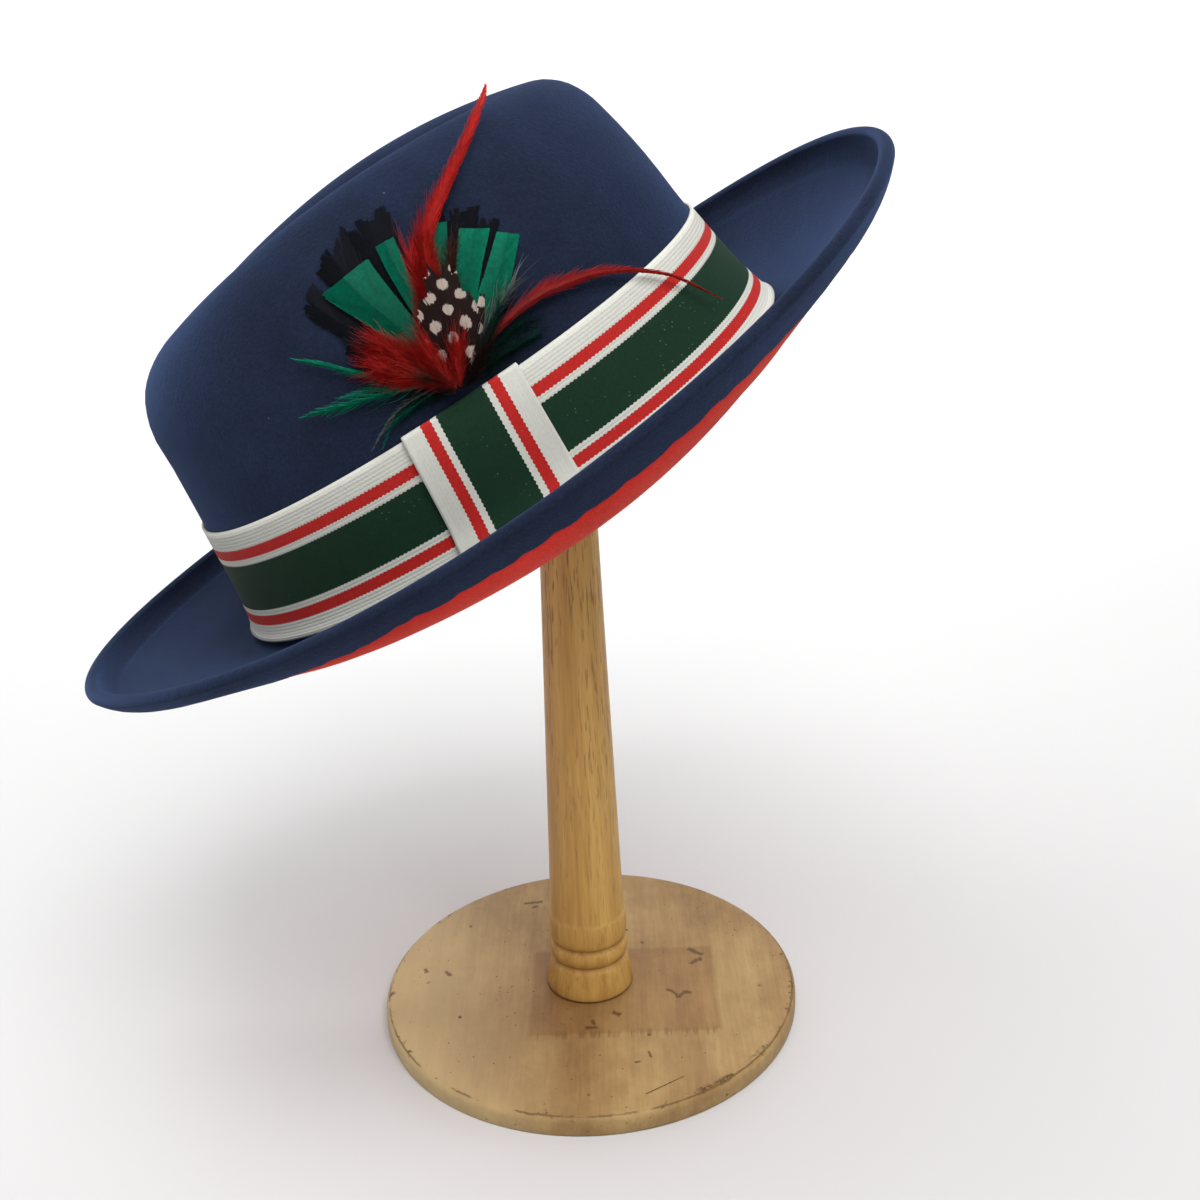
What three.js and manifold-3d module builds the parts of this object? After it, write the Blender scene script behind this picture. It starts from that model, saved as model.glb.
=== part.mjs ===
// A fedora hanging front-down on a turned wooden stand, in millimetres with +Z up.
// The origin is the middle of the base's underside. The hat's front points along -X.
import * as THREE from "three";
import { mergeVertices } from "three/addons/utils/BufferGeometryUtils.js";
import Module from "manifold-3d";

const wasm = await Module();
wasm.setup();

// Pose of the hat on the post
const TILT = THREE.MathUtils.degToRad(29.4);
const HAT_AT = new THREE.Vector3(-18.8, 0, 225.3);

// Layer thicknesses and the gap kept between pieces
const FELT = 1.6;
const LINING = 1.0;
const SWEATBAND = 1.0;
const RIBBON = 0.9;
const VANE = 0.7;
const GAP = 0.3;
const RIM_ROUND = 0.8;
const FLARE = 0.8;

// Stand sizes
const BASE_R = 81.5;
const BASE_H = 8;
const BASE_EDGE = 2.5;
const POST_TOP = 343.7;
const POST_TIP_R = 7.5;

// Facets round the hat and round the post
const AROUND = 48;
const POST_AROUND = 20;

// Upper face of the felt from the rim to the middle of the top dent, one row per ring.
// x is the ring's middle, a and b its half length and half width; front, side and back
// are its heights over the foot of the crown.
const RINGS = [
  { at: "rim", x: -0.4, a: 160.6, b: 117.5, front: 18.5, side: 15, back: 29.2 },
  { at: "curl", x: -1.2, a: 158, b: 115.6, front: 13.2, side: 9.4, back: 23 },
  { at: "fold", x: -1.4, a: 152.6, b: 111.6, front: 9.6, side: 4.4, back: 16.8 },
  { at: "dish", x: -1.2, a: 139.5, b: 103.4, front: 5.6, side: -1.4, back: 7.4 },
  { at: "flat", x: -1.2, a: 123, b: 95, front: 1, side: -3.5, back: 0.3 },
  { at: "break", x: -1, a: 109.8, b: 88.6, front: -2.6, side: -3.5, back: -2.6 },
  { at: "root", x: -1.2, a: 105.3, b: 85.8, front: 0, side: 0, back: 0 },
  { at: "low", x: -1.3, a: 103.4, b: 84.6, front: 6, side: 6, back: 6 },
  { at: "band", x: -2, a: 96.4, b: 81.6, front: 40, side: 40, back: 40 },
  { at: "wall", x: -2, a: 93.2, b: 76.5, front: 61, side: 63, back: 62 },
  { at: "upper", x: -2.8, a: 90.2, b: 69.5, front: 76, side: 82, back: 79 },
  { at: "round", x: -1.5, a: 85.9, b: 62.5, front: 85.5, side: 94.5, back: 88 },
  { at: "crest", x: 0, a: 79.6, b: 55.5, front: 91.2, side: 102.6, back: 94.6 },
  { at: "ridge", x: 0.5, a: 72, b: 48.5, front: 94, side: 106, back: 98.8 },
  { at: "lip", x: 0.8, a: 64, b: 41.5, front: 93, side: 104.5, back: 98.6 },
  { at: "dent wall", x: 1.5, a: 54, b: 33, front: 86, side: 97, back: 91.5 },
  { at: "dent foot", x: 1.5, a: 42, b: 24, front: 81, side: 88, back: 85 },
  { at: "floor", x: 1.5, a: 24, b: 13, front: 80, side: 83, back: 82.5 },
  { at: "middle", x: 1.5, a: 0, b: 0, front: 81, side: 81, back: 81 },
];
const COLUMNS = ["x", "a", "b", "front", "side", "back"];
const ring = (name) => RINGS.findIndex((row) => row.at === name);

// Turned profile of the post: height over the base and radius
const POST = [
  { up: 0, r: 16.4 },
  { up: 1.2, r: 17 },
  { up: 9, r: 15.9 },
  { up: 12, r: 15.1 },
  { up: 13.5, r: 14 },
  { up: 15, r: 14.8 },
  { up: 17.5, r: 15.4 },
  { up: 20, r: 14.8 },
  { up: 21.5, r: 14.1 },
  { up: 23, r: 14.9 },
  { up: 28, r: 15.3 },
  { up: 33, r: 14.8 },
  { up: 36, r: 14.4 },
  { up: 165, r: 11.1 },
];

// Vanes of the feather trim, laid on the near wall of the crown. s runs along the band towards the
// back and h up the crown from the band's top edge, at the root (0), the middle (1) and the tip (2).
// w is the width at those three places, layer the vane's height in its stack and lift the extra
// height of its tip.
const VANES = {
  black_feathers: [
    { s0: 4, h0: 5, s1: -2, h1: 36, s2: -8.5, h2: 61, w: [4, 9, 12], layer: 0, lift: 0 },
    { s0: 5, h0: 5, s1: 5, h1: 36, s2: 3.5, h2: 62, w: [4, 9, 12], layer: 0.25, lift: 0 },
    { s0: 6, h0: 5, s1: 11, h1: 34, s2: 14, h2: 58, w: [4, 8, 10], layer: 0.1, lift: 0 },
    { s0: 7, h0: 5, s1: 22, h1: 28, s2: 35, h2: 46, w: [4, 8, 12], layer: 0, lift: 0 },
    { s0: 8, h0: 5.5, s1: 22, h1: 10, s2: 37, h2: 9, w: [4, 10, 6], layer: 0.25, lift: 0 },
    { s0: 8, h0: 6, s1: 22, h1: 15, s2: 35, h2: 19, w: [4, 7, 4], layer: 0.1, lift: 0 },
    { s0: 4, h0: 5.5, s1: -6, h1: 22, s2: -15, h2: 43, w: [3, 6, 5], layer: 0.2, lift: 0 },
  ],
  green_feathers: [
    { s0: 5, h0: 5, s1: 0.5, h1: 28, s2: -4.7, h2: 48, w: [4, 11, 21], layer: 0, lift: 0 },
    { s0: 6, h0: 5, s1: 9, h1: 30, s2: 11, h2: 50, w: [4, 6, 8], layer: 0.25, lift: 0 },
    { s0: 6, h0: 5, s1: 18, h1: 30, s2: 27, h2: 46, w: [4, 6, 7], layer: 0, lift: 0 },
    { s0: 7, h0: 5, s1: 23, h1: 25, s2: 36, h2: 38.5, w: [4, 6, 8.5], layer: 0.25, lift: 0 },
    { s0: 7.5, h0: 5.5, s1: 29, h1: 20, s2: 43.5, h2: 31.5, w: [4, 8, 6.5], layer: 0.1, lift: 0 },
    { s0: 4, h0: 6, s1: -16, h1: 23, s2: -30, h2: 35.2, w: [3, 3.4, 0.8], layer: 0.3, lift: 0 },
    { s0: 3.5, h0: 5.5, s1: -21, h1: 17, s2: -39.5, h2: 20.4, w: [3, 5.5, 0.8], layer: 0.2, lift: 0 },
    { s0: 3, h0: 5.5, s1: -11, h1: 8, s2: -20.5, h2: 3.6, w: [2.5, 2.6, 0.8], layer: 0.3, lift: 0 },
  ],
  red_feathers: [
    { s0: 4, h0: 6, s1: -5, h1: 15, s2: -14, h2: 20, w: [4, 8, 2], layer: 0.3, lift: 0 },
    { s0: 4, h0: 6, s1: -3, h1: 18, s2: -11, h2: 29, w: [4, 9, 2], layer: 0, lift: 0 },
    { s0: 5, h0: 6, s1: 2.5, h1: 20, s2: -1.5, h2: 35, w: [4, 9, 2], layer: 0.25, lift: 0 },
    { s0: 5.5, h0: 6, s1: 8, h1: 24, s2: 10, h2: 42, w: [4, 10, 3], layer: 0, lift: 0 },
    { s0: 6, h0: 6, s1: 25, h1: 41, s2: 67.3, h2: 68.2, w: [5, 7, 0.8], layer: 0, lift: 7 },
    { s0: 7, h0: 6, s1: 47, h1: 13.5, s2: 89, h2: -21.5, w: [3, 4, 0.8], layer: 0, lift: 1.5 },
  ],
  guinea_feather: [
    { s0: 7, h0: 6, s1: 13, h1: 19, s2: 18.5, h2: 32.5, w: [6, 18, 8], layer: 0, lift: 0 },
    { s0: 8, h0: 6, s1: 17, h1: 11, s2: 22, h2: 18, w: [5, 7, 4], layer: 0.25, lift: 0 },
  ],
};
const LAYERS = { black_feathers: 0.5, green_feathers: 1.9, red_feathers: 3.35, guinea_feather: 4.8 };
const BAND_RADIUS = 96;

// Ribbon keeper: span along the band at its top and foot, and its folded section as height over
// the band's top edge with the outer and inner distance off the felt
const KEEPER = { top: [-15.8, 22.6], foot: [-20, 18.4], long: 39.4, columns: 7 };
const KEEPER_SECTION = [
  { h: -KEEPER.long, out: 3.2, into: 2.3, hin: -KEEPER.long },
  { h: -34.2, out: 2.4, into: 1.5, hin: -34.2 },
  { h: -0.6, out: 2.4, into: 1.5, hin: -0.6 },
  { h: 0.6, out: 2.2, into: 1.5, hin: 0.35 },
  { h: 1.2, out: 1.6, into: 1.1, hin: 0.4 },
  { h: 1.3, out: 0.4, into: 0.4, hin: 0.4 },
];

// Row of ring sizes at a fractional ring number
function ringAt(u) {
  const i = Math.min(Math.floor(u), RINGS.length - 2);
  const row = {};
  for (const key of COLUMNS) {
    row[key] = THREE.MathUtils.lerp(RINGS[i][key], RINGS[i + 1][key], u - i);
  }
  return row;
}

// Point of the felt's upper face in the hat's own frame
function feltPoint(u, phi) {
  const row = ringAt(u);
  const ends = (row.front + row.back) / 4 - row.side / 2;
  const middle = row.side + ends;
  const slope = (row.back - row.front) / 2;
  const z = middle + slope * Math.cos(phi) + ends * Math.cos(2 * phi);
  return new THREE.Vector3(row.x + row.a * Math.cos(phi), row.b * Math.sin(phi), z);
}

// Outward normal of the felt on a ring, halfway between the facets that meet there
function ringNormal(i, phi) {
  if (i >= RINGS.length - 1) {
    return new THREE.Vector3(0, 0, 1);
  }
  const here = feltPoint(i, phi);
  const round = feltPoint(i, phi + 0.01).sub(feltPoint(i, phi - 0.01)).normalize();
  const sides = [];
  if (i > 0) {
    sides.push(here.clone().sub(feltPoint(i - 1, phi)).normalize());
  }
  sides.push(feltPoint(i + 1, phi).sub(here).normalize());
  const normals = sides.map((along) => new THREE.Vector3().crossVectors(round, along).normalize());
  const mean = normals[0].clone().add(normals[normals.length - 1]).normalize();
  return mean.divideScalar(Math.max(0.8, mean.dot(normals[0])));
}

// Point at a distance off the felt, in the stand's frame
function offFelt(u, phi, distance) {
  const i = Math.min(Math.floor(u), RINGS.length - 2);
  const normal = ringNormal(i, phi).lerp(ringNormal(i + 1, phi), u - i);
  const p = feltPoint(u, phi).addScaledVector(normal, distance);
  const c = Math.cos(TILT);
  const s = Math.sin(TILT);
  return new THREE.Vector3(p.x * c - p.z * s, p.y, p.x * s + p.z * c).add(HAT_AT);
}

// Ring numbers along the near wall with their height over the band's top edge
const NEAR = -Math.PI / 2;
const HEIGHTS = RINGS.map((row, i) => i).slice(ring("root"), ring("dent wall") + 1);
const CLIMB = HEIGHTS.map((i, k) => (k === 0 ? 0 : feltPoint(i, NEAR).distanceTo(feltPoint(i - 1, NEAR))));
function ringOfHeight(h) {
  const band = ring("band") - ring("root");
  let k = band;
  let left = h;
  while (left < 0 && k > 1) {
    k -= 1;
    left += CLIMB[k + 1];
  }
  while (left > CLIMB[k + 1] && k < CLIMB.length - 2) {
    left -= CLIMB[k + 1];
    k += 1;
  }
  return HEIGHTS[k] + left / CLIMB[k + 1];
}

// Point on the near wall from its place along the band, up the crown and off the felt
function onCrown(s, h, d) {
  return offFelt(ringOfHeight(h), NEAR + s / BAND_RADIUS, d);
}

// Closed geometry from points and triangles: shared points merged, empty triangles dropped
function closed(points, faces) {
  const raw = new THREE.BufferGeometry().setFromPoints(points);
  raw.setIndex(faces);
  const merged = mergeVertices(raw, 1e-4);
  const index = [...merged.index.array];
  const kept = [];
  for (let t = 0; t < index.length; t += 3) {
    const [a, b, c] = index.slice(t, t + 3);
    if (a !== b && b !== c && c !== a) {
      kept.push(a, b, c);
    }
  }
  merged.setIndex(kept);
  if (volume(merged) < 0) {
    merged.setIndex(kept.reverse());
  }
  merged.computeVertexNormals();
  return merged;
}

function volume(geometry) {
  const at = geometry.attributes.position;
  const corner = (i) => new THREE.Vector3().fromBufferAttribute(at, geometry.index.getX(i));
  let sum = 0;
  for (let t = 0; t < geometry.index.count; t += 3) {
    sum += corner(t).dot(corner(t + 1).cross(corner(t + 2))) / 6;
  }
  return sum;
}

// Closed sheet between two faces of points, each a list of rows; wrap joins the last row to the first
function sheet(front, back, wrap) {
  const n = front.length;
  const k = front[0].length;
  const at = (side, j, i) => side * n * k + (j % n) * k + i;
  const faces = [];
  const quad = (a, b, c, d) => faces.push(a, b, c, a, c, d);
  const spans = wrap ? n : n - 1;
  for (let j = 0; j < spans; j += 1) {
    for (let i = 0; i < k - 1; i += 1) {
      quad(at(0, j, i), at(0, j + 1, i), at(0, j + 1, i + 1), at(0, j, i + 1));
      quad(at(1, j, i), at(1, j, i + 1), at(1, j + 1, i + 1), at(1, j + 1, i));
    }
    quad(at(0, j, 0), at(1, j, 0), at(1, j + 1, 0), at(0, j + 1, 0));
    quad(at(0, j, k - 1), at(0, j + 1, k - 1), at(1, j + 1, k - 1), at(1, j, k - 1));
  }
  if (!wrap) {
    for (let i = 0; i < k - 1; i += 1) {
      quad(at(0, 0, i), at(0, 0, i + 1), at(1, 0, i + 1), at(1, 0, i));
      quad(at(0, n - 1, i), at(1, n - 1, i), at(1, n - 1, i + 1), at(0, n - 1, i + 1));
    }
  }
  return closed([...front.flat(), ...back.flat()], faces);
}

// Layer round the whole hat through the given ring numbers, between two distances off the felt.
// flare lifts its first ring and edge gives it a rounded rim.
function layer(rings, outer, inner, { flare = 0, edge = null } = {}) {
  const angles = Array.from({ length: AROUND }, (_, j) => (2 * Math.PI * j) / AROUND);
  const face = (d) => angles.map((phi) => {
    const line = rings.map((u, i) => offFelt(u, phi, d + (i === 0 ? flare : 0)));
    return edge ? [edge(phi), ...line] : line;
  });
  return sheet(face(outer), face(inner), true);
}

const upTo = (from, to) => Array.from({ length: to - from + 1 }, (_, i) => from + i);
const last = RINGS.length - 1;

// Felt crown and brim, the rim's edge a little rounded
function rimEdge(phi) {
  const middle = offFelt(0, phi, -FELT / 2);
  const inward = offFelt(1, phi, -FELT / 2).sub(middle).normalize();
  return middle.addScaledVector(inward, -RIM_ROUND);
}
const felt = layer(upTo(0, last), 0, -FELT, { edge: rimEdge });

// Red layer under the brim and inside the crown, from the navy border inwards
const liningTop = -FELT - GAP;
const liningFoot = liningTop - LINING;
const lining = layer(upTo(ring("fold"), last), liningTop, liningFoot);

// Sweatband inside the head opening
const sweatTop = liningFoot - GAP;
const sweatband = layer(
  [ring("root") + 0.35, ring("low"), ring("low") + 0.82],
  sweatTop,
  sweatTop - SWEATBAND,
);

// Ribbon round the foot of the crown, its lower edge a little off the felt
const bandRings = [ring("root") + 0.1, ring("low"), ring("band")];
const band = layer(bandRings, GAP + RIBBON, GAP, { flare: FLARE });

// Loop of the ribbon across the band
function keeper() {
  const front = [];
  const back = [];
  for (let j = 0; j < KEEPER.columns; j += 1) {
    const across = j / (KEEPER.columns - 1);
    const top = THREE.MathUtils.lerp(KEEPER.top[0], KEEPER.top[1], across);
    const foot = THREE.MathUtils.lerp(KEEPER.foot[0], KEEPER.foot[1], across);
    const place = (h) => THREE.MathUtils.lerp(top, foot, -h / KEEPER.long);
    front.push(KEEPER_SECTION.map((row) => onCrown(place(row.h), row.h, row.out)));
    back.push(KEEPER_SECTION.map((row) => onCrown(place(row.h), row.hin, row.into)));
  }
  return sheet(front, back, false);
}

// One vane: a thin plate bent round the crown along a curved middle line
function vane(row, base) {
  const line = new THREE.QuadraticBezierCurve(
    new THREE.Vector2(row.s0, row.h0),
    new THREE.Vector2(2 * row.s1 - (row.s0 + row.s2) / 2, 2 * row.h1 - (row.h0 + row.h2) / 2),
    new THREE.Vector2(row.s2, row.h2),
  );
  const steps = Math.max(3, Math.round(line.getLength() / 11));
  const front = [];
  const back = [];
  for (let j = 0; j <= steps; j += 1) {
    const t = j / steps;
    const p = line.getPoint(t);
    const along = line.getTangent(t);
    const width = t < 0.5
      ? THREE.MathUtils.lerp(row.w[0], row.w[1], 2 * t)
      : THREE.MathUtils.lerp(row.w[1], row.w[2], 2 * t - 1);
    const d = base + row.layer + row.lift * Math.max(0, (t - 0.4) / 0.6) ** 2;
    const places = [-0.5, 0, 0.5].map((k) => [p.x - along.y * width * k, p.y + along.x * width * k]);
    front.push(places.map(([s, h]) => onCrown(s, h, d + VANE)));
    back.push(places.map(([s, h]) => onCrown(s, h, d)));
  }
  return sheet(front, back, false);
}

// Vanes of one layer fused into one body
function fused(geometries) {
  const bodies = geometries.map((geometry) => new wasm.Manifold(new wasm.Mesh({
    numProp: 3,
    vertProperties: new Float32Array(geometry.attributes.position.array),
    triVerts: new Uint32Array(geometry.index.array),
  })));
  const mesh = bodies.reduce((sum, body) => sum.add(body)).getMesh();
  const geometry = new THREE.BufferGeometry();
  geometry.setAttribute("position", new THREE.BufferAttribute(new Float32Array(mesh.vertProperties), 3));
  geometry.setIndex([...mesh.triVerts]);
  geometry.computeVertexNormals();
  return geometry;
}

// Turned wood: radius and height pairs spun round the post's axis
function turned(profile, segments) {
  const lathe = new THREE.LatheGeometry(profile.map(([r, z]) => new THREE.Vector2(r, z)), segments);
  lathe.rotateX(Math.PI / 2);
  const at = lathe.attributes.position;
  const points = Array.from({ length: at.count }, (_, i) => new THREE.Vector3().fromBufferAttribute(at, i));
  for (const p of points) {
    if (Math.hypot(p.x, p.y) < 1e-6) {
      p.x = 0;
      p.y = 0;
    }
  }
  return closed(points, [...lathe.index.array]);
}

const baseProfile = [
  [0, 0],
  [BASE_R - 0.6, 0],
  [BASE_R, 0.8],
  [BASE_R, BASE_H - BASE_EDGE],
  [BASE_R - 0.3 * BASE_EDGE, BASE_H - 0.3 * BASE_EDGE],
  [BASE_R - BASE_EDGE, BASE_H],
  [0, BASE_H],
];

const postFoot = BASE_H + GAP;
const postProfile = [
  [0, postFoot],
  ...POST.map((row) => [row.r, postFoot + row.up]),
  ...[0, 30, 60].map((deg) => {
    const turn = THREE.MathUtils.degToRad(deg);
    return [POST_TIP_R * Math.cos(turn), POST_TOP - POST_TIP_R * (1 - Math.sin(turn))];
  }),
  [0, POST_TOP],
];

const part = new THREE.Group();
part.name = "fedora_on_stand";
function add(name, geometry, color, roughness) {
  const material = new THREE.MeshStandardMaterial({ color, roughness, metalness: 0 });
  const mesh = new THREE.Mesh(geometry, material);
  mesh.name = name;
  part.add(mesh);
}

add("stand_base", turned(baseProfile, AROUND), 0xb98a4e, 0.5);
add("stand_post", turned(postProfile, POST_AROUND), 0xc79a5b, 0.5);
add("felt_body", felt, 0x1c2745, 0.95);
add("red_lining", lining, 0xc4271f, 0.95);
add("sweatband", sweatband, 0xb5231d, 0.8);
add("hat_band", band, 0xe6e3d8, 0.8);
add("band_keeper", keeper(), 0xe6e3d8, 0.8);
const feathers = {
  black_feathers: 0x11151c,
  green_feathers: 0x0a6a4c,
  red_feathers: 0xc3201c,
  guinea_feather: 0x2b1714,
};
for (const [name, color] of Object.entries(feathers)) {
  add(name, fused(VANES[name].map((row) => vane(row, LAYERS[name]))), color, 0.7);
}

export default part;
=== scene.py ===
"""A navy felt fedora with a striped ribbon and a feather trim, hung on a turned wooden stand."""

import math

import bmesh
import bpy
import numpy as np
from mathutils import Matrix, Vector


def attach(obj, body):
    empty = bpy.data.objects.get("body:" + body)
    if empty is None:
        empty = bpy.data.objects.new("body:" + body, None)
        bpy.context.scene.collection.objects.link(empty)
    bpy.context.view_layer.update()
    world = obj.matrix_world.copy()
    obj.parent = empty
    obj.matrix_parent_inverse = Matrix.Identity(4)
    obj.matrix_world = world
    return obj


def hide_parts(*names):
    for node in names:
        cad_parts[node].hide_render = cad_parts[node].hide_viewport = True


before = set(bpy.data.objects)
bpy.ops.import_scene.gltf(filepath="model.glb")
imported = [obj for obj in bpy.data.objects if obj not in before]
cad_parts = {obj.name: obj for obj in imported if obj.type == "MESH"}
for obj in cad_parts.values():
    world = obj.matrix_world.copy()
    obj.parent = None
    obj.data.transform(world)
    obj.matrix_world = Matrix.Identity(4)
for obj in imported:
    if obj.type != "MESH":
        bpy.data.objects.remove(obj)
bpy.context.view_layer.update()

# Stand base: a flat disc turned from pale hardwood, its top edge rounded over.
# It lies loose on the table, worn and chipped along its edge, with a stain round the post.
# Sizes are in millimetres and swatches in 0 to 255, here and in the sections below.
MM = 0.001
BASE_RADIUS = 81.5
BASE_HEIGHT = 8.0
BASE_ROUND = 2.5
BASE_STEPS = 128
# The lower edge as steps in from the full radius, and their heights
BASE_FOOT = ((1.6, 0), (0.8, 0), (0.2, 0.3), (0, 0.9))
# Rings of the flat top: the first inside the round, the others as shares of the radius
TOP_RING = 0.4
TOP_SHARES = (0.9, 0.6, 0.3, 0)
GRAIN_TURN = -8.0
# Painted light: the top is painted paler from the first x to the second, lighter towards its left side
PAINTED_LIGHT_FROM = -10.0
PAINTED_LIGHT_TO = -75.0
STAIN_MIDDLE = (12.0, -9.5)
STAIN_SIZE = (73.0, 55.0)
STAIN_TURN = -8.0
# Marks of the top: x and y of both ends, and width
SCRATCH = (10.1, -71.9, 25.0, -65.2, 0.22)
BRUISES = (
    (28.5, -13.1, 30.9, -14.9, 0.7), (30.7, -14.7, 32.4, -19.4, 0.5), (32.2, -19.4, 34.9, -16.0, 0.6),
    (34.6, -16.0, 37.9, -16.9, 0.8), (5.5, -22.7, 8.0, -25.6, 0.8), (-6.3, -30.5, -2.1, -31.4, 0.7),
    (-2.9, -26.6, -2.5, -29.7, 0.6), (42.3, 12.7, 47.4, 7.1, 0.9), (41.1, 2.1, 46.5, 5.5, 0.7),
    (-21.4, 60.7, -13.2, 60.4, 0.7), (-18.0, 56.5, -15.7, 57.4, 0.6), (-10.3, -68.6, -9.7, -68.6, 0.5),
    (9.0, -54.2, 11.2, -54.0, 0.4), (15.0, -49.0, 15.4, -52.8, 0.3), (-65.8, 20.1, -65.0, 17.0, 0.6),
    (-57.5, 16.6, -55.5, 13.0, 0.6), (-65.0, 10.4, -64.6, 9.9, 0.7),
)
BRUISE_DEPTH = 0.9


def srgb(red, green, blue):
    """Shader colour of a swatch."""
    parts = [part / 255 for part in (red, green, blue)]
    linear = [p / 12.92 if p < 0.04045 else ((p + 0.055) / 1.055) ** 2.4 for p in parts]
    return (*linear, 1.0)


BASE_TONES = ((0.32, srgb(148, 116, 72)), (0.5, srgb(170, 139, 90)), (0.68, srgb(188, 160, 107)))


class Finish:
    """A node material, with short ways to add its nodes."""

    def __init__(self, name, sockets):
        self.material = bpy.data.materials.new(name)
        self.material.use_nodes = True
        self.nodes = self.material.node_tree.nodes
        self.shader = self.nodes["Principled BSDF"]
        for socket, value in sockets.items():
            self.give(socket, value)

    def join(self, socket, value):
        if isinstance(value, bpy.types.NodeSocket):
            self.material.node_tree.links.new(value, socket)
        else:
            socket.default_value = value

    def give(self, socket, value):
        self.join(self.shader.inputs[socket], value)

    def add(self, kind, inputs, out=0, **settings):
        node = self.nodes.new("ShaderNode" + kind)
        for key, value in settings.items():
            setattr(node, key, value)
        for key, value in inputs.items():
            self.join(node.inputs[key], value)
        return node.outputs[out]

    def place(self, scale=1, at=(0, 0, 0), turn=0.0):
        """Place on the object in millimetres, moved to at, turned about Z and then scaled."""
        moved = self.add("Mapping", {
            "Vector": self.add("TexCoord", {}, "Object"),
            "Location": [x * MM for x in at],
            "Rotation": (0, 0, math.radians(turn)),
        }, vector_type="TEXTURE")
        scales = [x / MM for x in np.broadcast_to(scale, 3)]
        return self.add("VectorMath", {0: moved, 1: scales}, operation="MULTIPLY")

    def axes(self, vector):
        node = self.nodes.new("ShaderNodeSeparateXYZ")
        self.join(node.inputs[0], vector)
        return node.outputs

    def weave(self):
        """A cloth's own two coordinates, each 0 to 1."""
        return self.axes(self.add("TexCoord", {}, "UV"))

    def noise(self, scale, detail, rough=0.6, **where):
        """Cloudy noise over a place on the object."""
        vector = self.place(scale, **where)
        return self.add("TexNoise", {"Vector": vector, "Scale": 1.0, "Detail": detail, "Roughness": rough})

    def spots(self, scale, **where):
        """Distance to the nearest of points scattered over a place on the object."""
        return self.add("TexVoronoi", {"Vector": self.place(scale, **where), "Scale": 1.0})

    def math(self, operation, first, second=0.0):
        return self.add("Math", {0: first, 1: second}, operation=operation)

    def plus(self, first, second):
        return self.math("ADD", first, second)

    def minus(self, first, second):
        return self.math("SUBTRACT", first, second)

    def times(self, first, second):
        return self.math("MULTIPLY", first, second)

    def larger(self, first, second):
        return self.math("MAXIMUM", first, second)

    def away(self, value, middle):
        return self.math("ABSOLUTE", self.minus(value, middle))

    def hypot(self, x, y):
        return self.math("SQRT", self.plus(self.math("POWER", x, 2.0), self.math("POWER", y, 2.0)))

    def wave(self, value, step):
        """Sine of a value, -1 to 1, that comes round after each step."""
        return self.math("SINE", self.times(value, math.tau / step))

    def rise(self, value, low, high):
        """0 below low, 1 above high and a smooth rise between; it falls where low is the higher one."""
        return self.add("MapRange", {
            "Value": value, "From Min": low, "From Max": high,
        }, interpolation_type="SMOOTHSTEP")

    def between(self, value, low, high):
        """Number from low to high as value goes from 0 to 1."""
        return self.add("MapRange", {"Value": value, "To Min": low, "To Max": high})

    def ramp(self, value, stops, interpolation="LINEAR"):
        node = self.nodes.new("ShaderNodeValToRGB")
        colours = node.color_ramp
        colours.interpolation = interpolation
        colours.elements.remove(colours.elements[1])
        colours.elements[0].position = stops[0][0]
        colours.elements[0].color = stops[0][1]
        for position, colour in stops[1:]:
            colours.elements.new(position).color = colour
        self.join(node.inputs[0], value)
        return node.outputs[0]

    def mix(self, share, first, second, blend="MIX"):
        return self.add("Mix", {0: share, 6: first, 7: second}, 2, data_type="RGBA", blend_type=blend)

    def cover(self, tone, mask, share, colour, blend="MIX"):
        """Tone covered by a colour where the mask is 1, as far as share says."""
        return self.mix(self.times(mask, share), tone, colour, blend)

    def darken(self, share, tone, value, low, high, shade):
        """Tone multiplied by a shade where value is low, and left as it is where it is high."""
        shades = self.ramp(value, [(low, shade), (high, srgb(255, 255, 255))])
        return self.mix(share, tone, shades, "MULTIPLY")

    def relief(self, height, depth):
        """Bump of the given depth on the shader."""
        self.give("Normal", self.add("Bump", {"Height": height, "Distance": depth * MM}))


def put(name, data):
    """Object of a mesh, lamp or lens, in the scene."""
    made = bpy.data.objects.new(name, data)
    bpy.context.scene.collection.objects.link(made)
    return made


def shaded(name, bm, material):
    """Smooth-shaded object of a bmesh."""
    mesh = bpy.data.meshes.new(name)
    bm.to_mesh(mesh)
    bm.free()
    mesh.shade_smooth()
    mesh.materials.append(material)
    return put(name, mesh)


def piece(name, bm, material, node):
    """Object of a bmesh that rides on the part and stands for a CAD node."""
    made = shaded(name, bm, material)
    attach(made, "root")
    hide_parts(node)
    return made


def turned(profile, steps):
    """Body of a profile of (radius, height) points, spun round the stand's axis."""
    bm = bmesh.new()
    line = [bm.verts.new((radius * MM, 0, height * MM)) for radius, height in profile]
    edges = [bm.edges.new(pair) for pair in zip(line, line[1:])]
    bmesh.ops.spin(
        bm, geom=line + edges, axis=(0, 0, 1), cent=(0, 0, 0), angle=math.tau, steps=steps, use_merge=True
    )
    bmesh.ops.remove_doubles(bm, verts=bm.verts, dist=1e-6)
    bmesh.ops.recalc_face_normals(bm, faces=bm.faces)
    return bm


def quarter(radius, height, size, steps=6):
    """Quarter round over a turned top edge, from the wall to the top."""
    turns = [math.pi / 2 * k / steps for k in range(steps + 1)]
    return [(radius - size * (1 - math.cos(a)), height - size * (1 - math.sin(a))) for a in turns]


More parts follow.
